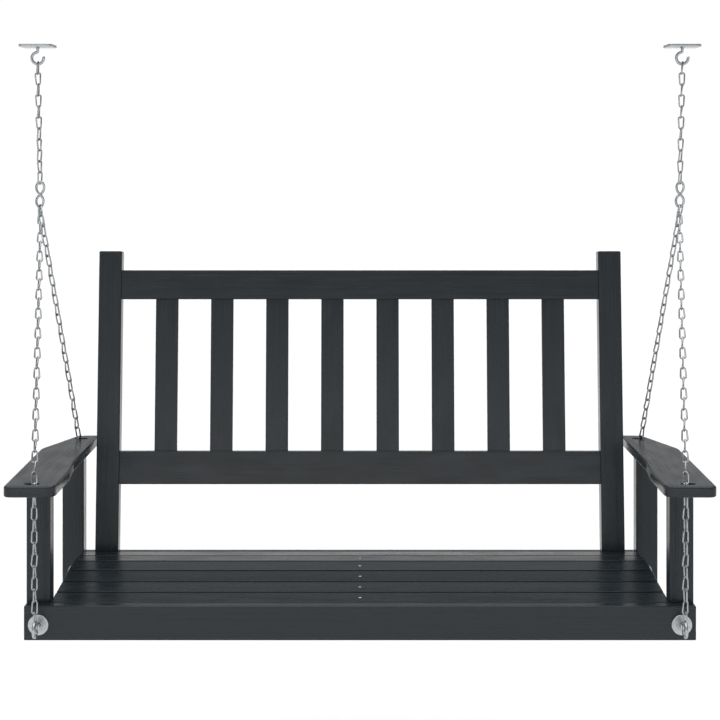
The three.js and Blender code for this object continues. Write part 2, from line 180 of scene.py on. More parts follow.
def addSky():
    # white to the camera, but softer as light, and dimmer overhead than at the horizon
    sky = bpy.data.worlds.new("studio")
    bpy.context.scene.world = sky
    sky.use_nodes = True
    tree = sky.node_tree
    tree.nodes.clear()
    direction = addNode(tree, "ShaderNodeTexCoord").outputs["Generated"]
    split = addNode(tree, "ShaderNodeSeparateXYZ", inputs={0: direction}).outputs

    def climbing(part):
        return addNode(tree, "ShaderNodeMapRange", {"interpolation_type": "SMOOTHSTEP"}, {
            "Value": split["Z"], "From Min": part["start"], "From Max": part["end"],
            "To Min": part["low"], "To Max": part["high"]}).outputs["Result"]

    behind = addNode(tree, "ShaderNodeMapRange", inputs={
        "Value": split["Y"], "From Min": 0.0, "From Max": studio["turnToBehind"]}).outputs["Result"]
    glow = addNode(tree, "ShaderNodeMix", {"data_type": "FLOAT"}, {
        0: behind, 2: climbing(studio["skyInFront"]), 3: climbing(studio["skyBehind"])}).outputs[0]
    seen = addNode(tree, "ShaderNodeLightPath").outputs["Is Camera Ray"]
    strength = addNode(tree, "ShaderNodeMix", {"data_type": "FLOAT"}, {
        0: seen, 2: glow, 3: studio["white"]})
    light = addNode(tree, "ShaderNodeBackground", inputs={
        "Color": (1, 1, 1, 1), "Strength": strength.outputs[0]})
    addNode(tree, "ShaderNodeOutputWorld", inputs={"Surface": light.outputs[0]})


def addPanel(name, settings):
    # a lit panel in front of the bench, turned towards its apron
    data = bpy.data.lights.new(name, "AREA")
    data.shape = "RECTANGLE"
    data.size = settings["width"]
    data.size_y = settings["height"]
    data.energy = settings["power"]
    lamp = bpy.data.objects.new(name, data)
    lamp.location = settings["place"]
    aim = Vector((0, 0, apronLow.z)) - lamp.location
    lamp.rotation_euler = aim.to_track_quat("-Z", "Y").to_euler()
    bpy.context.scene.collection.objects.link(lamp)


def addDaylight(settings):
    # a very wide, even light from above, so the floor stays pale out to the horizon
    data = bpy.data.lights.new("daylight", "SUN")
    data.energy = settings["strength"]
    data.angle = math.radians(settings["spread"])
    lamp = bpy.data.objects.new("daylight", data)
    lamp.rotation_euler = [math.radians(angle) for angle in settings["tilt"]]
    bpy.context.scene.collection.objects.link(lamp)


addFloor()
addSky()
addDaylight(studio["daylight"])
for panel in ("highPanel", "lowPanel"):
    addPanel(panel, studio[panel])
bpy.context.scene.view_settings.view_transform = "Standard"
print("studio ready")


# Materials

def newMaterial(name):
    material = bpy.data.materials.new(name)
    material.use_nodes = True
    tree = material.node_tree
    tree.nodes.clear()
    return material, tree


def surface(tree, inputs):
    shader = addNode(tree, "ShaderNodeBsdfPrincipled", inputs=inputs)
    addNode(tree, "ShaderNodeOutputMaterial", inputs={"Surface": shader.outputs[0]})


paintedPine = {
    "paint": "20272c",        # cool anthracite
    "warm": "21272b",         # the same paint where it dried thicker
    "wornAndSheen": "343b40",         # lighter over the hard grain: partly paint worn thin, partly painted sheen
    "grainWidth": 2.2,        # mm, streaks across the board
    "grainLength": 140,       # mm, the same streaks along it
    "ringSpacing": 9,         # mm, year rings of planed softwood
    "patchWidth": 28,         # mm, uneven coats of paint
    "patchLength": 90,        # mm
    "unevenness": 0.25,       # mm, height of the thicker patches
    "coat": (0.42, 0.62),     # between these values of the patches the thicker coat sets in
    "thin": (0.35, 0.75),     # between these values of the grain the paint turns lighter, partly worn thin and partly painted sheen
    "thinnest": 0.17,         # share of the lighter colour where it is strongest, worn paint and painted sheen together
    "roughness": 0.23,
    "smoother": 0.05,         # how far the roughness falls and rises over the board
    "rougher": 0.1,
    "mottling": (0.7, 1.3),   # grain and patches together, from the smoothest to the roughest
    "gloss": 0.3,
    "lustre": 1.5,            # index of refraction of the paint
    "relief": 0.04,           # share of the next that shows through the paint
    "reliefDepth": 0.6,       # mm
    "ringShare": 0.2,         # how much of the relief is year rings, the rest being streaks
    "ringStretch": 14,        # how many times longer the rings are along the board
    "ringWander": 14,         # how far the rings stray from straight
    "ringDetailScale": 0.35,
    "ringDetailRoughness": 0.65,
    "grainDetailRoughness": 0.6,
    "patchWander": 0.4,
    "boardStep": (0.73, 0.031, 0.047),    # every board is cut from another place in the wood
}


def makePaintedPine(name, turn):
    # Satin anthracite paint brushed on planed pine: the year rings and the fine streaks of the
    # wood stand up faintly through the paint, and the coats dry a little cooler or warmer.
    settings = paintedPine
    material, tree = newMaterial(name)
    place = addNode(tree, "ShaderNodeTexCoord").outputs["Object"]
    board = addNode(tree, "ShaderNodeAttribute", {"attribute_name": "board"}).outputs["Fac"]
    turned = addNode(tree, "ShaderNodeVectorRotate", {"rotation_type": "EULER_XYZ"}, {
        "Vector": place, "Rotation": [math.radians(angle) for angle in turn]}).outputs[0]
    shift = addNode(tree, "ShaderNodeVectorMath", {"operation": "SCALE"}, {
        0: settings["boardStep"], "Scale": board}).outputs[0]
    along = addNode(tree, "ShaderNodeVectorMath", {"operation": "ADD"}, {0: turned, 1: shift}).outputs[0]

    def stretched(width, length):
        return addNode(tree, "ShaderNodeVectorMath", {"operation": "MULTIPLY"}, {
            0: along, 1: (width / length, 1, 1)}).outputs[0]

    streaks = addNode(tree, "ShaderNodeTexNoise", inputs={
        "Vector": stretched(settings["grainWidth"], settings["grainLength"]),
        "Scale": 1000 / settings["grainWidth"], "Detail": 3,
        "Roughness": settings["grainDetailRoughness"]}).outputs["Fac"]
    patches = addNode(tree, "ShaderNodeTexNoise", inputs={
        "Vector": stretched(settings["patchWidth"], settings["patchLength"]),
        "Scale": 1000 / settings["patchWidth"], "Detail": 2,
        "Distortion": settings["patchWander"]}).outputs["Fac"]
    # the wave node makes a ring for every tenth of pi at a scale of one
    rings = addNode(tree, "ShaderNodeTexWave", {"wave_type": "RINGS", "rings_direction": "X"}, {
        "Vector": stretched(1, settings["ringStretch"]),
        "Scale": math.pi / 10 / millimetres(settings["ringSpacing"]),
        "Distortion": settings["ringWander"], "Detail": 3,
        "Detail Scale": settings["ringDetailScale"],
        "Detail Roughness": settings["ringDetailRoughness"]}).outputs["Fac"]

    height = addNode(tree, "ShaderNodeMix", {"data_type": "FLOAT"}, {
        0: settings["ringShare"], 2: streaks, 3: rings}).outputs[0]
    # the paint turns lighter over the hard grain: partly real wear, partly a painted sheen along the
    # grain
    thin = addNode(tree, "ShaderNodeMapRange", inputs={
        "Value": height, "From Min": settings["thin"][0], "From Max": settings["thin"][1],
        "To Min": 0, "To Max": settings["thinnest"]}).outputs["Result"]
    coat = addNode(tree, "ShaderNodeMapRange", {"interpolation_type": "SMOOTHSTEP"}, {
        "Value": patches, "From Min": settings["coat"][0],
        "From Max": settings["coat"][1]}).outputs["Result"]
    coats = addNode(tree, "ShaderNodeMix", {"data_type": "RGBA"}, {
        0: coat, 6: toLinear(settings["paint"]), 7: toLinear(settings["warm"])}).outputs[2]
    colour = addNode(tree, "ShaderNodeMix", {"data_type": "RGBA"}, {
        0: thin, 6: coats, 7: toLinear(settings["wornAndSheen"])}).outputs[2]
    both = addNode(tree, "ShaderNodeMath", {"operation": "ADD"}, {0: streaks, 1: patches}).outputs[0]
    roughness = addNode(tree, "ShaderNodeMapRange", inputs={
        "Value": both, "From Min": settings["mottling"][0], "From Max": settings["mottling"][1],
        "To Min": settings["roughness"] - settings["smoother"],
        "To Max": settings["roughness"] + settings["rougher"]}).outputs["Result"]
    uneven = addNode(tree, "ShaderNodeBump", inputs={
        "Strength": 1, "Distance": millimetres(settings["unevenness"]), "Height": patches}).outputs[0]
    bump = addNode(tree, "ShaderNodeBump", inputs={
        "Strength": settings["relief"], "Distance": millimetres(settings["reliefDepth"]),
        "Height": height, "Normal": uneven}).outputs[0]
    surface(tree, {"Base Color": colour, "Roughness": roughness, "Normal": bump,
                   "IOR": settings["lustre"], "Specular IOR Level": settings["gloss"]})
    return material


zincPlating = {
    "bright": "c9ccce",         # of the washers, bolts and hooks
    "dull": "8f9396",
    "chainBright": "bcbfc2",    # of the chains, greyer
    "chainDull": "7a7f82",
    "roughness": 0.3,
    "smoother": 0.08,           # how far the roughness falls and rises over the patches
    "rougher": 0.12,
    "chainLift": -0.08,         # added to the roughness for the chains, which are smoother
    "spangle": 2.5,             # mm, patches of the plating
    "scratches": 0.35,          # mm, fine drawing marks
    "scratchRelief": 0.12,
    "scratchDepth": 0.1,        # mm
}


def makeZincPlatedSteel(name, bright, dull, lift=0):
    # Bright zinc plated steel wire and stampings: cool silver with soft dull patches.
    material, tree = newMaterial(name)
    place = addNode(tree, "ShaderNodeTexCoord").outputs["Object"]
    patches = addNode(tree, "ShaderNodeTexNoise", inputs={
        "Vector": place, "Scale": 1000 / zincPlating["spangle"], "Detail": 2}).outputs["Fac"]
    marks = addNode(tree, "ShaderNodeTexNoise", inputs={
        "Vector": place, "Scale": 1000 / zincPlating["scratches"], "Detail": 1}).outputs["Fac"]
    colour = addNode(tree, "ShaderNodeMix", {"data_type": "RGBA"}, {
        0: patches, 6: toLinear(bright), 7: toLinear(dull)}).outputs[2]
    roughness = addNode(tree, "ShaderNodeMapRange", inputs={
        "Value": patches,
        "To Min": zincPlating["roughness"] - zincPlating["smoother"] + lift,
        "To Max": zincPlating["roughness"] + zincPlating["rougher"] + lift}).outputs["Result"]
    bump = addNode(tree, "ShaderNodeBump", inputs={
        "Strength": zincPlating["scratchRelief"],
        "Distance": millimetres(zincPlating["scratchDepth"]), "Height": marks}).outputs[0]
    surface(tree, {"Base Color": colour, "Roughness": roughness, "Normal": bump, "Metallic": 1.0})
    return material


backLean = 5.5      # degrees, as the back is built

pineAcross = makePaintedPine("paintedPineAcross", (0, 0, 0))
pineUpright = makePaintedPine("paintedPineUpright", (0, 90, 0))
pineLeaning = makePaintedPine("paintedPineLeaning", (backLean, 90, 0))
pineFrontToBack = makePaintedPine("paintedPineFrontToBack", (0, 0, 90))
zincPlatedSteel = makeZincPlatedSteel("zincPlatedSteel", zincPlating["bright"], zincPlating["dull"])
zincPlatedChain = makeZincPlatedSteel(
    "zincPlatedChain", zincPlating["chainBright"], zincPlating["chainDull"], zincPlating["chainLift"])
print("materials ready")


# Timber: every board is a copy of its solid with softened edges

boards = {
    "front_apron": {"edge": 2.2, "shortest": 12, "pine": pineAcross},
    "rear_seat_rail": {"edge": 2.2, "shortest": 12, "pine": pineAcross},
    "front_arm_post": {"edge": 2.5, "shortest": 12, "pine": pineUpright},
    "rear_arm_post": {"edge": 2.5, "shortest": 12, "pine": pineUpright},
    "seat_slat": {"edge": 0.9, "shortest": 5, "pine": pineAcross},
    "side_rail": {"edge": 0.8, "shortest": 100, "pine": pineFrontToBack},
    "centre_support": {"edge": 0.8, "shortest": 100, "pine": pineFrontToBack},
    "back_post": {"edge": 3.0, "shortest": 12, "pine": pineLeaning},
    "top_back_rail": {"edge": 2.5, "shortest": 75, "pine": pineAcross},
    "bottom_back_rail": {"edge": 2.5, "shortest": 75, "pine": pineAcross},
    "back_slat": {"edge": 1.5, "shortest": 60, "pine": pineLeaning},
    "armrest": {"edge": 3.2, "shortest": 0, "pine": pineFrontToBack},
}

armSlots = {
    "edge": 0.3,          # share of the armrest's rounding kept at its slots
    "reach": 17,          # mm, how far from a slot's middle its rim still lies
    "frontAcross": 19.5,  # mm, in from the apron's end to the middle of the front slot
    "frontAhead": 30,     # mm, from the apron's front forward to it
    "rearAcross": 28.5,
    "rearBehind": 19.5,   # mm, from the back of the rear arm post to the middle of the rear slot
}

softening = {
    "weld": 0.01,         # mm, corners closer than this are one
    "flat": 1,            # degrees, faces that meet flatter than this become one
    "sharp": 35,          # degrees, edges sharper than this are softened
    "mostCorners": 12,    # of a face without holes in it
    "segments": 3,
}


def softBoard(node, settings, number, slots=(), sockets=()):
    # edge is the softening's width in mm, and edges shorter than shortest stay sharp
    shape = bmesh.new()
    shape.from_mesh(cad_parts[node].data)
    bmesh.ops.remove_doubles(shape, verts=shape.verts, dist=millimetres(softening["weld"]))
    for place in sockets:
        # a clean cut through the middle of every socket, so that no face has a hole in it
        everything = shape.verts[:] + shape.edges[:] + shape.faces[:]
        cut = bmesh.ops.bisect_plane(shape, geom=everything, plane_co=place, plane_no=(1, 0, 0))
        for part in cut["geom_cut"]:
            if isinstance(part, bmesh.types.BMEdge):
                part.seam = True
    bmesh.ops.dissolve_limit(shape, angle_limit=math.radians(softening["flat"]),
                             verts=shape.verts, edges=shape.edges, delimit={"SEAM"})
    if slots:
        # a face with holes in it is cut into well shaped triangles
        pierced = [face for face in shape.faces if len(face.verts) > softening["mostCorners"]]
        bmesh.ops.triangulate(shape, faces=pierced, ngon_method="BEAUTY")
    weight = shape.edges.layers.float.new("bevel_weight_edge")
    for edge in shape.edges:
        if isSharp(edge, softening["sharp"]):
            if edge.calc_length() < millimetres(settings["shortest"]):
                edge.smooth = False
            else:
                middle = (edge.verts[0].co + edge.verts[1].co) / 2
                reach = millimetres(armSlots["reach"])
                inSlot = any((middle - slot).xy.length < reach for slot in slots)
                edge[weight] = armSlots["edge"] if inSlot else 1
    mesh = bpy.data.meshes.new(node)
    for face in shape.faces:
        face.smooth = True
    shape.to_mesh(mesh)
    shape.free()
    mark = mesh.attributes.new("board", "FLOAT", "POINT")
    mark.data.foreach_set("value", [float(number)] * len(mesh.vertices))
    mesh.materials.append(settings["pine"])
    piece = newPiece(node + "_painted", mesh)
    bevel = piece.modifiers.new("softEdges", "BEVEL")
    bevel.limit_method = "WEIGHT"
    bevel.width = millimetres(settings["edge"])
    bevel.segments = softening["segments"]
    bevel.use_clamp_overlap = False
    bevel.loop_slide = False
    keepFlatFacesFlat(piece)
    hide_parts(node)
    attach(piece, "bench")


def slotsOf(node):
    # the middles, seen from above, of the two slots that the chains pass through
    side = -1 if node.endswith("left") else 1
    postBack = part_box("rear_arm_post_right")[1][1]
    return (Vector((side * (apronHigh.x - millimetres(armSlots["frontAcross"])),
                    apronLow.y - millimetres(armSlots["frontAhead"]), 0)),
            Vector((side * (apronHigh.x - millimetres(armSlots["rearAcross"])),
                    postBack + millimetres(armSlots["rearBehind"]), 0)))


railSockets = [middleOf(node) for node in sorted(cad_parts) if node.startswith("back_slat")]
boardNumber = 0
for kind, settings in boards.items():
    for node in sorted(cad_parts):
        if node.startswith(kind):
            boardNumber += 1
            softBoard(node, settings, boardNumber, slotsOf(node) if kind == "armrest" else (),
                      railSockets if kind.endswith("back_rail") else ())
print("timber ready:", boardNumber, "boards")


# Chains: welded links threaded along each run

chain = {
    "wire": 3.0,          # mm, thickness of the wire
    "pitch": 20,          # mm, inside length of a link
    "width": 8.9,         # mm, across a link between the middles of its two sides
    "wring": 14,          # degrees, twist of a link between its two ends
    "taper": 0.22,        # how much narrower the lower end of a link is, as a share of its width
    "corner": 0.499,      # radius of a link's rounded ends, as a share of its width
    "cornerSteps": 4,
    "wireSides": 8,
    "firstTurn": 84,      # degrees, the first link of a run is nearly edge-on
    "twist": -32,         # degrees, how far the top links of the upper chains turn with the pull
    "twistFades": (2.5, 5.5),    # links, between which that twist fades out
    "askew": (1, 6),      # degrees, the least and the most that an edge-on link hangs askew
    "flatShare": -1.3,    # what a flat link adds to its share of that, which is 1 when edge-on
    "besideFoot": 1.6,    # mm, the two chains of a V hang side by side in the connector
    "slotOutward": 1.5,   # mm, from the middle of the eye out to the chain in the slot
    "aboveArm": 1,        # mm, a chain is upright from here above the armrest
    "belowArm": 3,        # mm, to here below it
}


def makeChainTree():
    tree = bpy.data.node_groups.new("chainOfLinks", "GeometryNodeTree")
    for name, kind in (("Run", "Geometry"), ("Links", "Int"), ("Wire", "Float"), ("Length", "Float"),
                       ("Width", "Float"), ("First Turn", "Float"), ("Twist", "Float"),
                       ("Wring", "Float"), ("Taper", "Float"), ("Seed", "Int"), ("Steel", "Material")):
        tree.interface.new_socket(name, in_out="INPUT", socket_type="NodeSocket" + kind)
    tree.interface.new_socket("Chain", in_out="OUTPUT", socket_type="NodeSocketGeometry")
    given = addNode(tree, "NodeGroupInput").outputs
    outline = addNode(tree, "GeometryNodeCurvePrimitiveQuadrilateral", inputs={
        "Width": given["Width"], "Height": given["Length"]})
    radius = addNode(tree, "ShaderNodeMath", {"operation": "MULTIPLY"}, {
        0: given["Width"], 1: chain["corner"]}).outputs[0]
    rounded = addNode(tree, "GeometryNodeFilletCurve", {"mode": "POLY"}, {
        "Curve": outline.outputs[0], "Radius": radius, "Count": chain["cornerSteps"],
        "Limit Radius": True})
    wireRadius = addNode(tree, "ShaderNodeMath", {"operation": "MULTIPLY"}, {
        0: given["Wire"], 1: 0.5}).outputs[0]
    section = addNode(tree, "GeometryNodeCurvePrimitiveCircle", inputs={
        "Resolution": chain["wireSides"], "Radius": wireRadius})
    link = addNode(tree, "GeometryNodeCurveToMesh", inputs={
        "Curve": rounded.outputs[0], "Profile Curve": section.outputs[0]})
    upright = addNode(tree, "GeometryNodeTransform", inputs={
        "Geometry": link.outputs[0], "Rotation": (math.radians(90), 0, 0)})
    # each link is wrung a little about its own length, and narrower at its lower end
    spot = addNode(tree, "GeometryNodeInputPosition").outputs[0]
    heightInLink = addNode(tree, "ShaderNodeSeparateXYZ", inputs={0: spot}).outputs["Z"]
    share = addNode(tree, "ShaderNodeMath", {"operation": "DIVIDE"}, {
        0: heightInLink, 1: given["Length"]}).outputs[0]
    spread = addNode(tree, "ShaderNodeMath", {"operation": "MULTIPLY_ADD"}, {
        0: share, 1: given["Taper"], 2: 1}).outputs[0]
    widths = addNode(tree, "ShaderNodeCombineXYZ", inputs={"X": spread, "Y": 1, "Z": 1}).outputs[0]
    tapered = addNode(tree, "ShaderNodeVectorMath", {"operation": "MULTIPLY"}, {
        0: spot, 1: widths}).outputs[0]
    wring = addNode(tree, "ShaderNodeMath", {"operation": "MULTIPLY"}, {
        0: share, 1: given["Wring"]}).outputs[0]
    bent = addNode(tree, "ShaderNodeVectorRotate", {"rotation_type": "Z_AXIS"}, {
        "Vector": tapered, "Angle": wring}).outputs[0]
    wrung = addNode(tree, "GeometryNodeSetPosition", inputs={
        "Geometry": upright.outputs[0], "Position": bent})
    line = addNode(tree, "GeometryNodeMeshToCurve", inputs={"Mesh": given["Run"]})
    # two points for each link: its middle, and the place where it meets the next
    steps = addNode(tree, "ShaderNodeMath", {"operation": "MULTIPLY_ADD"}, {
        0: given["Links"], 1: 2, 2: 1})
    points = addNode(tree, "GeometryNodeResampleCurve", inputs={
        "Curve": line.outputs[0], "Count": steps.outputs[0]})
    number = addNode(tree, "GeometryNodeInputIndex").outputs[0]
    half = addNode(tree, "ShaderNodeMath", {"operation": "MULTIPLY"}, {0: number, 1: 0.5}).outputs[0]
    order = addNode(tree, "ShaderNodeMath", {"operation": "FLOOR"}, {0: half}).outputs[0]
    remainder = addNode(tree, "ShaderNodeMath", {"operation": "FRACT"}, {0: half}).outputs[0]
    isMiddle = addNode(tree, "ShaderNodeMath", {"operation": "GREATER_THAN"}, {
        0: remainder, 1: 0.25}).outputs[0]
    quarter = addNode(tree, "ShaderNodeMath", {"operation": "MULTIPLY_ADD"}, {
        0: order, 1: math.radians(90), 2: given["First Turn"]}).outputs[0]
    # the twist fades out over the first links of the run
    fade = addNode(tree, "ShaderNodeMapRange", {"interpolation_type": "SMOOTHSTEP"}, {
        "Value": order, "From Min": chain["twistFades"][0], "From Max": chain["twistFades"][1],
        "To Min": 1, "To Max": 0}).outputs["Result"]
    turn = addNode(tree, "ShaderNodeMath", {"operation": "MULTIPLY_ADD"}, {
        0: fade, 1: given["Twist"], 2: quarter}).outputs[0]
    # every link hangs a little askew, the edge-on ones more than the flat ones
    askew = addNode(tree, "FunctionNodeRandomValue", {"data_type": "FLOAT"}, {
        2: math.radians(chain["askew"][0]), 3: math.radians(chain["askew"][1]),
        "ID": number, "Seed": given["Seed"]}).outputs[1]
    flat = addNode(tree, "ShaderNodeMath", {"operation": "MODULO"}, {0: order, 1: 2}).outputs[0]
    leanShare = addNode(tree, "ShaderNodeMath", {"operation": "MULTIPLY_ADD"}, {
        0: flat, 1: chain["flatShare"], 2: 1}).outputs[0]
    lean = addNode(tree, "ShaderNodeMath", {"operation": "MULTIPLY"}, {
        0: leanShare, 1: askew}).outputs[0]
    tangent = addNode(tree, "GeometryNodeInputTangent").outputs[0]
    aimed = addNode(tree, "FunctionNodeAlignRotationToVector", {"axis": "Z"}, {"Vector": tangent})
    rolled = addNode(tree, "FunctionNodeAxisAngleToRotation", inputs={"Axis": (0, 0, 1), "Angle": turn})
    rotation = addNode(tree, "FunctionNodeRotateRotation", {"rotation_space": "LOCAL"}, {
        "Rotation": aimed.outputs[0], "Rotate By": rolled.outputs[0]})
    tilt = addNode(tree, "FunctionNodeAxisAngleToRotation", inputs={
        "Axis": (0, 1, 0), "Angle": lean}).outputs[0]
    leaned = addNode(tree, "FunctionNodeRotateRotation", {"rotation_space": "GLOBAL"}, {
        "Rotation": rotation.outputs[0], "Rotate By": tilt})
    placed = addNode(tree, "GeometryNodeInstanceOnPoints", inputs={
        "Points": points.outputs[0], "Selection": isMiddle, "Instance": wrung.outputs[0],
        "Rotation": leaned.outputs[0]})
    real = addNode(tree, "GeometryNodeRealizeInstances", inputs={"Geometry": placed.outputs[0]})
    smooth = addNode(tree, "GeometryNodeSetShadeSmooth", inputs={"Geometry": real.outputs[0]})
    steel = addNode(tree, "GeometryNodeSetMaterial", inputs={
        "Geometry": smooth.outputs[0], "Material": given["Steel"]})
    addNode(tree, "NodeGroupOutput", inputs={"Chain": steel.outputs[0]})
    return tree


chainTree = makeChainTree()


def addChain(name, path, lastAcross, twist, body):
    # path is a list of points from the first link's end to the last link's
    length = sum((b - a).length for a, b in zip(path, path[1:]))
    # the first link is edge-on, and an even number of them turns the last one across its ring
    links = 2 * round(length / millimetres(chain["pitch"]) / 2 - (0 if lastAcross else 0.5))
    links += 0 if lastAcross else 1
    pitch = length / links
    mesh = bpy.data.meshes.new(name)
    mesh.from_pydata(path, [(i, i + 1) for i in range(len(path) - 1)], [])
    piece = newPiece(name + "_links", mesh)
    threaded = piece.modifiers.new("links", "NODES")
    threaded.node_group = chainTree
    setInputs(threaded, {
        "Links": links, "Wire": millimetres(chain["wire"]),
        "Length": pitch + millimetres(chain["wire"]), "Width": millimetres(chain["width"]),
        "First Turn": math.radians(chain["firstTurn"]), "Twist": math.radians(twist),
        "Wring": math.radians(chain["wring"]), "Taper": chain["taper"], "Seed": links,
        "Steel": zincPlatedChain})
    piece = applied(piece)
    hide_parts(name)
    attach(piece, body)
    print(name, links, "links of", round(pitch * 1000, 2), "mm")


# Fittings: bent wire, turned and stamped parts

wireSteps = 4       # of a bent wire's quarter round


def wireShape(points, diameter, closed=False):
    # a round wire along points, with closed ends
    data = bpy.data.curves.new("wire", "CURVE")
    data.dimensions = "3D"
    data.bevel_depth = diameter / 2
    data.bevel_resolution = wireSteps
    data.use_fill_caps = True
    line = data.splines.new("POLY")
    line.points.add(len(points) - 1)
    for place, point in zip(line.points, points):
        place.co = (*point, 1)
    line.use_cyclic_u = closed
    drawn = applied(newPiece("wire", data))
    mesh = drawn.data
    bpy.data.objects.remove(drawn)
    shape = bmesh.new()
    shape.from_mesh(mesh)
    bmesh.ops.remove_doubles(shape, verts=shape.verts, dist=millimetres(0.001))
    return shape


def turned(profile, sides, closed=False, reach=None):
    # profile is pairs of a place along Y and a radius, in metres, turned about the Y axis;
    # reach may limit the radius by angle
    shape = bmesh.new()
    rings = []
    for along, radius in profile:
        ring = []
        for i in range(sides):
            angle = 2 * math.pi * i / sides
            limited = min(radius, reach(angle)) if reach else radius
            ring.append(shape.verts.new((
                limited * math.cos(angle), along, limited * math.sin(angle))))
        rings.append(ring)
    pairs = list(zip(rings, rings[1:])) + ([(rings[-1], rings[0])] if closed else [])
    for one, other in pairs:
        for i in range(sides):
            j = (i + 1) % sides
            shape.faces.new((one[i], one[j], other[j], other[i]))
    if not closed:
        shape.faces.new(rings[0])
        shape.faces.new(rings[-1])
    return shape


def addFitting(name, shapes, body, node, sharp=40):
    # joins shapes into one smooth zinc plated piece that stands for its node
    whole = bmesh.new()
    for shape in shapes:
        bmesh.ops.recalc_face_normals(shape, faces=shape.faces)
        part = bpy.data.meshes.new("part")
        shape.to_mesh(part)
        shape.free()
        whole.from_mesh(part)
        bpy.data.meshes.remove(part)
    for face in whole.faces:
        face.smooth = True
    for edge in whole.edges:
        if isSharp(edge, sharp):
            edge.smooth = False
    mesh = bpy.data.meshes.new(name)
    whole.to_mesh(mesh)
    whole.free()
    mesh.materials.append(zincPlatedSteel)
    piece = newPiece(name, mesh)
    keepFlatFacesFlat(piece)
    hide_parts(node)
    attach(piece, body)


connector = {
    "wire": 4.6,           # mm, as are the next two
    "height": 51.5,
    "width": 18.5,
    "fullness": 0.45,      # of its loops, 0 for slim ones
    "crossing": 2.6,       # mm, how far its wires stand from the middle where they cross
    "lean": 1.2,           # mm, to one side from top to bottom
    "seam": 0.012,         # share of the wire's length left open at its ends
    "steps": 72,
}


def addConnector(name):
    # a wire bent into a figure of eight, its two ends butting at the foot of the lower loop
    node = f"connector_{name}"
    middle = middleOf(node)
    reach = millimetres(connector["height"] - connector["wire"]) / 2
    half = millimetres(connector["width"] - connector["wire"]) / 2
    points = []
    for i in range(connector["steps"] + 1):
        share = connector["seam"] / 2 + (1 - connector["seam"]) * i / connector["steps"]
        angle = 2 * math.pi * share + math.pi
        rise = math.cos(angle) * (1 - connector["fullness"] * math.sin(angle) ** 2)
        lean = millimetres(connector["lean"]) * rise / 2
        points.append((middle.x + half * math.sin(2 * angle) + lean,
                       millimetres(connector["crossing"]) * math.sin(angle), middle.z + reach * rise))
    addFitting(f"{node}_bent", [wireShape(points, millimetres(connector["wire"]))], "hangers", node)


hook = {
    "wire": 5.5,             # mm
    "bend": 11,              # mm, radius of the bend to the middle of the wire
    "neck": 9,               # mm, from the bend up to the plate
    "neckAt": (0.5, 0.15),   # shares of the neck where its wire has a point
    "opening": 75,           # degrees left open
    "steps": 40,
    "plate": 62,             # mm, across
    "plateThickness": 5,
    "corner": 7,             # mm, radius
    "cornerSteps": 6,
    "rim": 0.8,              # mm, easing of the plate's rims
    "rimAngle": 60,          # degrees, sharper edges than this are rims
    "rimSegments": 2,
    # the weld, as mm under the plate and its radius as a share of the bend's
    "weld": ((0, 0.5), (1, 0.42), (2.2, 0.3)),
    "weldSides": 24,
}


def addCeilingHook(name):
    # a stamped square plate with a hook of round wire welded under it
    node = f"ceiling_hook_{name}"
    low, high = cornersOf(node)
    middle = Vector(((low.x + high.x) / 2, 0, 0))
    foot = low.z + millimetres(hook["wire"] / 2)
    bend = millimetres(hook["bend"])
    points = [(middle.x, 0, high.z - millimetres(hook["plateThickness"] / 2))]
    points += [(middle.x, 0, foot + 2 * bend + millimetres(hook["neck"] * share))
               for share in hook["neckAt"]]
    for i in range(1, hook["steps"] + 1):
        angle = math.radians(90 + i * (360 - hook["opening"]) / hook["steps"])
        points.append((middle.x + bend * math.cos(angle), 0, foot + bend * (1 + math.sin(angle))))
    plate = bmesh.new()
    half = millimetres(hook["plate"] / 2)
    corner = millimetres(hook["corner"])
    outline = []
    for quarter in range(4):
        diagonal = math.radians(45 + 90 * quarter)
        away = Vector((math.cos(diagonal), math.sin(diagonal), 0))
        centre = middle + away * math.sqrt(2) * (half - corner)
        for step in range(hook["cornerSteps"] + 1):
            angle = math.radians(90 * quarter + 90 / hook["cornerSteps"] * step)
            outline.append(plate.verts.new((centre.x + corner * math.cos(angle),
                                            centre.y + corner * math.sin(angle), high.z)))
    face = plate.faces.new(outline)
    drawn = bmesh.ops.extrude_face_region(plate, geom=[face])
    bmesh.ops.translate(plate, vec=(0, 0, -millimetres(hook["plateThickness"])),
                        verts=[v for v in drawn["geom"] if isinstance(v, bmesh.types.BMVert)])
    rims = [edge for edge in plate.edges if isSharp(edge, hook["rimAngle"])]
    bmesh.ops.bevel(plate, geom=rims, offset=millimetres(hook["rim"]),
                    segments=hook["rimSegments"], affect="EDGES", profile=0.5)
    weld = turned([(millimetres(drop), bend * share) for drop, share in hook["weld"]],
                  hook["weldSides"])
    bmesh.ops.rotate(weld, cent=(0, 0, 0), matrix=Matrix.Rotation(math.radians(-90), 3, "X"),
                     verts=weld.verts)
    bmesh.ops.translate(weld, vec=(middle.x, 0, high.z - millimetres(hook["plateThickness"])),
                        verts=weld.verts)
    addFitting(f"{node}_bent", [plate, wireShape(points, millimetres(hook["wire"])), weld],
               "hooks", node)


eyeBolt = {
    "wire": 6.5,          # mm, as are all but the shares and steps
    "outer": 30,          # across the ring
    "ringSteps": 48,
    "shank": 8,
    "shankSides": 20,
    "collar": 11,
    # from the ring's middle line outwards, with the radius as a share of the shank's
    "root": (-1, 0.6),
    "shoulder": (3.5, 1.25),
    "straight": 7,
    "threaded": 30,       # length with a thread
    "threadPitch": 1.25,
    "threadDepth": 0.6,
    "flank": 0.35,        # from a crest to the next groove
    "runOut": 2.5,        # the last stretch without a thread
    "point": (0.8, 0.8),  # length of the turned end, and its radius as a share of the shank's
}


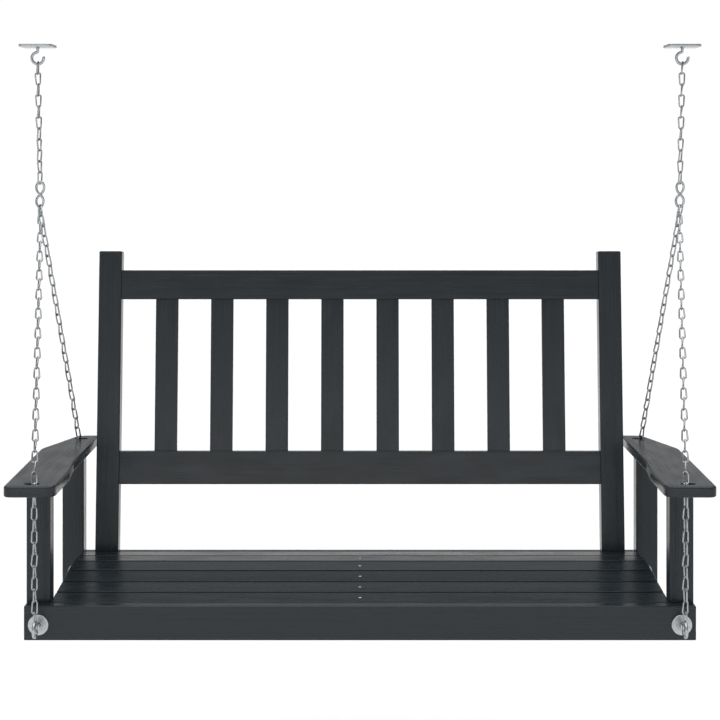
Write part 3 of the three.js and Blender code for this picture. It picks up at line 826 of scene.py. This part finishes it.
def addEyeBolt(end, name):
    # forged ring on a bolt, drawn from its ring towards its threaded end
    node = f"eye_bolt_{end}_{name}"
    low, high = cornersOf(node)
    middle = middleOf(node)
    way = 1 if end == "front" else -1
    ringRadius = millimetres((eyeBolt["outer"] - eyeBolt["wire"]) / 2)
    centre = Vector((0, millimetres(eyeBolt["outer"] / 2), 0))
    angles = [2 * math.pi * i / eyeBolt["ringSteps"] for i in range(eyeBolt["ringSteps"])]
    ring = wireShape([centre + ringRadius * Vector((0, math.cos(a), math.sin(a))) for a in angles],
                     millimetres(eyeBolt["wire"]), True)
    length = high.y - low.y
    radius = millimetres(eyeBolt["shank"] / 2)
    neck = centre.y + ringRadius
    threadStart = length - millimetres(eyeBolt["threaded"])
    profile = [(neck + millimetres(eyeBolt["root"][0]), radius * eyeBolt["root"][1]),
               (neck, millimetres(eyeBolt["collar"] / 2)),
               (neck + millimetres(eyeBolt["shoulder"][0]), radius * eyeBolt["shoulder"][1]),
               (neck + millimetres(eyeBolt["straight"]), radius), (threadStart, radius)]
    along = threadStart
    while along < length - millimetres(eyeBolt["runOut"]):
        groove = along + millimetres(eyeBolt["flank"])
        along += millimetres(eyeBolt["threadPitch"])
        profile += [(groove, radius - millimetres(eyeBolt["threadDepth"])), (along, radius)]
    profile += [(length - millimetres(eyeBolt["point"][0]), radius),
                (length, radius * eyeBolt["point"][1])]
    shapes = [ring, turned(profile, eyeBolt["shankSides"])]
    for shape in shapes:
        for vert in shape.verts:
            vert.co = (middle.x + vert.co.x, (low.y if way > 0 else high.y) + way * vert.co.y,
                       middle.z + vert.co.z)
    addFitting(f"{node}_forged", shapes, "bench", node)


washer = {"play": 0.35, "ease": 0.4, "sides": 48, "sharp": 30}    # mm, round the shank and at the rims


def addWasher(node):
    # stamped washer with its rims eased
    low, high = cornersOf(node)
    middle = middleOf(node)
    outer = (high.z - low.z) / 2
    inner = millimetres(eyeBolt["shank"] / 2 + washer["play"])
    ease = millimetres(washer["ease"])
    shape = turned([(low.y, inner), (low.y, outer - ease), (low.y + ease, outer),
                    (high.y - ease, outer), (high.y, outer - ease), (high.y, inner)],
                   washer["sides"], True)
    bmesh.ops.translate(shape, vec=(middle.x, 0, middle.z), verts=shape.verts)
    addFitting(f"{node}_stamped", [shape], "bench", node, washer["sharp"])


nut = {
    "flats": 13,         # mm, across
    "play": 0.3,         # mm, round the bolt
    "chamfer": 1.2,      # mm, height of the turned corners
    "face": 0.97,        # radius of its flat ends, as a share of half the flats
    "sides": 48,
    "sharp": 25,
}


def addNut(node):
    # hexagon nut with its corners turned off; those of the back bolts lie along X
    low, high = cornersOf(node)
    along = 0 if node.startswith("back") else 1
    flats = millimetres(nut["flats"])
    half = (high[along] - low[along]) / 2
    bore = millimetres(eyeBolt["shank"] / 2 + nut["play"])
    full = half - millimetres(nut["chamfer"])
    face = flats / 2 * nut["face"]

    def hexReach(angle):
        sector = (angle + math.pi / 6) % (math.pi / 3) - math.pi / 6
        return flats / 2 / math.cos(sector)

    corner = hexReach(math.pi / 6)
    shape = turned([(-half, bore), (-half, face), (-full, corner), (full, corner), (half, face),
                    (half, bore)], nut["sides"], True, hexReach)
    if along == 0:
        bmesh.ops.rotate(shape, cent=(0, 0, 0), matrix=Matrix.Rotation(math.radians(90), 3, "Z"),
                         verts=shape.verts)
    bmesh.ops.translate(shape, vec=(low + high) / 2, verts=shape.verts)
    addFitting(f"{node}_machined", [shape], "bench", node, nut["sharp"])


backBolt = {
    # mm along the bolt and its radius there, over the dome of its head
    "head": ((0, 1), (0.9, 5.5), (2.2, 8.2), (4, 9.5), (4.2, 4)),
    "shank": 4,             # mm, radius
    "point": (0.8, 3.2),    # mm, length of the turned end and its radius
    "sides": 32,
}


def addBackBolt(name, side):
    # domed bolt head on the inside of the back post
    node = f"back_bolt_{name}"
    low, high = cornersOf(node)
    length = high.x - low.x
    pointLength, pointRadius = (millimetres(value) for value in backBolt["point"])
    profile = [(millimetres(along), millimetres(radius)) for along, radius in backBolt["head"]]
    profile += [(length - pointLength, millimetres(backBolt["shank"])), (length, pointRadius)]
    shape = turned(profile, backBolt["sides"])
    turnWay = Matrix.Rotation(math.radians(-90 * side), 3, "Z")
    bmesh.ops.rotate(shape, cent=(0, 0, 0), matrix=turnWay, verts=shape.verts)
    start = middleOf(node)
    start.x = low.x if side > 0 else high.x
    bmesh.ops.translate(shape, vec=start, verts=shape.verts)
    addFitting(f"{node}_domed", [shape], "bench", node)


seatScrews = {
    "head": 6.5,            # mm, as are all but the shares and the seed
    "dome": 0.7,
    "recess": 4.6,
    "slotWidth": 1.3,
    "slotDepth": 1.6,
    "slotFoot": 0.6,        # how far the recess narrows to its foot
    "crown": (0.75, 0.8),   # shares of the head's radius and of the dome's height
    "neck": (0.8, 0.8),     # share of the head's radius, and depth below the seat
    "seed": 4,
}


def screwHead():
    # a low domed head with a cross recess, its seat at z = 0
    head = millimetres(seatScrews["head"] / 2)
    dome = millimetres(seatScrews["dome"])
    reach = millimetres(seatScrews["recess"] / 2)
    arm = millimetres(seatScrews["slotWidth"] / 2)
    foot = seatScrews["slotFoot"]
    crown, crownHeight = seatScrews["crown"]
    neck, neckDepth = seatScrews["neck"]
    quarter = [(reach, -arm), (reach, arm), (arm, arm)]
    cross = []
    for i in range(4):
        turn = Matrix.Rotation(math.radians(90 * i), 2)
        cross += [turn @ Vector(point) for point in quarter]
    shape = bmesh.new()
    rings = [
        [(foot * p.x, foot * p.y, dome - millimetres(seatScrews["slotDepth"])) for p in cross],
        [(p.x, p.y, dome) for p in cross],
        [(*(p.normalized() * head * crown), dome * crownHeight) for p in cross],
        [(*(p.normalized() * head), 0) for p in cross],
        [(*(p.normalized() * head * neck), -millimetres(neckDepth)) for p in cross],
    ]
    rings = [[shape.verts.new(point) for point in ring] for ring in rings]
    for one, other in zip(rings, rings[1:]):
        for i in range(len(cross)):
            j = (i + 1) % len(cross)
            shape.faces.new((one[i], one[j], other[j], other[i]))
    shape.faces.new(rings[0])
    shape.faces.new(rings[-1])
    bmesh.ops.recalc_face_normals(shape, faces=shape.faces)
    mesh = bpy.data.meshes.new("screwHead")
    shape.to_mesh(mesh)
    shape.free()
    return newPiece("screwHead", mesh)


def makeScrewTree():
    # sets a screw head on every point, turned to the point's facing and by chance about itself
    tree = bpy.data.node_groups.new("screwHeads", "GeometryNodeTree")
    for name, kind in (("Places", "Geometry"), ("Head", "Object"), ("Seed", "Int"),
                       ("Steel", "Material")):
        tree.interface.new_socket(name, in_out="INPUT", socket_type="NodeSocket" + kind)
    tree.interface.new_socket("Screws", in_out="OUTPUT", socket_type="NodeSocketGeometry")
    given = addNode(tree, "NodeGroupInput").outputs
    head = addNode(tree, "GeometryNodeObjectInfo", inputs={"Object": given["Head"]}).outputs["Geometry"]
    facing = addNode(tree, "GeometryNodeInputNamedAttribute", {"data_type": "FLOAT_VECTOR"}, {
        "Name": "facing"}).outputs[0]
    aimed = addNode(tree, "FunctionNodeAlignRotationToVector", {"axis": "Z"}, {"Vector": facing})
    spin = addNode(tree, "FunctionNodeRandomValue", {"data_type": "FLOAT"}, {
        2: 0.0, 3: math.pi, "Seed": given["Seed"]}).outputs[1]
    rolled = addNode(tree, "FunctionNodeAxisAngleToRotation", inputs={
        "Axis": (0, 0, 1), "Angle": spin}).outputs[0]
    rotation = addNode(tree, "FunctionNodeRotateRotation", {"rotation_space": "LOCAL"}, {
        "Rotation": aimed.outputs[0], "Rotate By": rolled})
    placed = addNode(tree, "GeometryNodeInstanceOnPoints", inputs={
        "Points": given["Places"], "Instance": head, "Rotation": rotation.outputs[0]})
    real = addNode(tree, "GeometryNodeRealizeInstances", inputs={"Geometry": placed.outputs[0]})
    steel = addNode(tree, "GeometryNodeSetMaterial", inputs={
        "Geometry": real.outputs[0], "Material": given["Steel"]})
    addNode(tree, "NodeGroupOutput", inputs={"Screws": steel.outputs[0]})
    return tree


screwTree = makeScrewTree()


def addScrews(name, places, body):
    # places is a list of points with the way each screw faces
    mesh = bpy.data.meshes.new(name)
    mesh.from_pydata([point for point, facing in places], [], [])
    ways = mesh.attributes.new("facing", "FLOAT_VECTOR", "POINT")
    ways.data.foreach_set("vector", [c for point, facing in places for c in facing])
    piece = newPiece(name, mesh)
    head = screwHead()
    driven = piece.modifiers.new("screws", "NODES")
    driven.node_group = screwTree
    setInputs(driven, {"Head": head, "Seed": seatScrews["seed"], "Steel": zincPlatedChain})
    piece = applied(piece)
    bpy.data.objects.remove(head)
    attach(piece, body)


def topOfSlat(node):
    # the middle of a slat's upper face and the way that face looks
    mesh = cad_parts[node].data
    mesh.calc_loop_triangles()
    facing = max((tri.normal for tri in mesh.loop_triangles), key=lambda way: way.z)
    corners = [vert.co for vert in mesh.vertices]
    middle = sum(corners, Vector()) / len(corners)
    rise = max((corner - middle).dot(facing) for corner in corners)
    return middle + facing * rise, facing


places = []
for node in sorted(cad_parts):
    if node.startswith("seat_slat"):
        middle, facing = topOfSlat(node)
        places.append((Vector((0, middle.y, middle.z)), facing.copy()))
addScrews("seat_screws", places, "bench")
print("screws ready:", len(places))


for name, side in bothSides:
    addConnector(name)
    addCeilingHook(name)
    addBackBolt(name, side)
    addNut(f"back_bolt_nut_{name}")
    for end in bothEnds:
        addEyeBolt(end, name)
        addWasher(f"outer_washer_{end}_{name}")
        addWasher(f"inner_washer_{end}_{name}")
        addNut(f"nut_{end}_{name}")
print("fittings ready")

ringInside = millimetres(eyeBolt["outer"] / 2 - eyeBolt["wire"])
for name, side in bothSides:
    loopLow, loopHigh = cornersOf(f"connector_{name}")
    loopX = (loopLow.x + loopHigh.x) / 2
    wire = millimetres(connector["wire"])
    hookLow, hookHigh = cornersOf(f"ceiling_hook_{name}")
    addChain(f"chain_upper_{name}", [
        Vector((loopX, 0, loopHigh.z - wire)),
        Vector(((hookLow.x + hookHigh.x) / 2, 0, hookLow.z + millimetres(hook["wire"])))],
        False, chain["twist"], "hangers")
    armLow, armHigh = cornersOf(f"armrest_{name}")
    for end, slot in zip(bothEnds, slotsOf(name)):
        way = 1 if end == "front" else -1
        eye = middleOf(f"eye_bolt_{end}_{name}")
        eyeLow, eyeHigh = cornersOf(f"eye_bolt_{end}_{name}")
        eyeY = (eyeLow.y if way > 0 else eyeHigh.y) + way * millimetres(eyeBolt["outer"] / 2)
        slotX = eye.x + side * millimetres(chain["slotOutward"])
        footX = loopX - way * side * millimetres(chain["besideFoot"])
        addChain(f"chain_{end}_{name}", [
            Vector((footX, 0, loopLow.z + wire)),
            Vector((slotX, slot.y, armHigh.z + millimetres(chain["aboveArm"]))),
            Vector((slotX, slot.y, armLow.z - millimetres(chain["belowArm"]))),
            Vector((eye.x, eyeY, eye.z + ringInside))], True, 0, "bench")
print("chains ready")
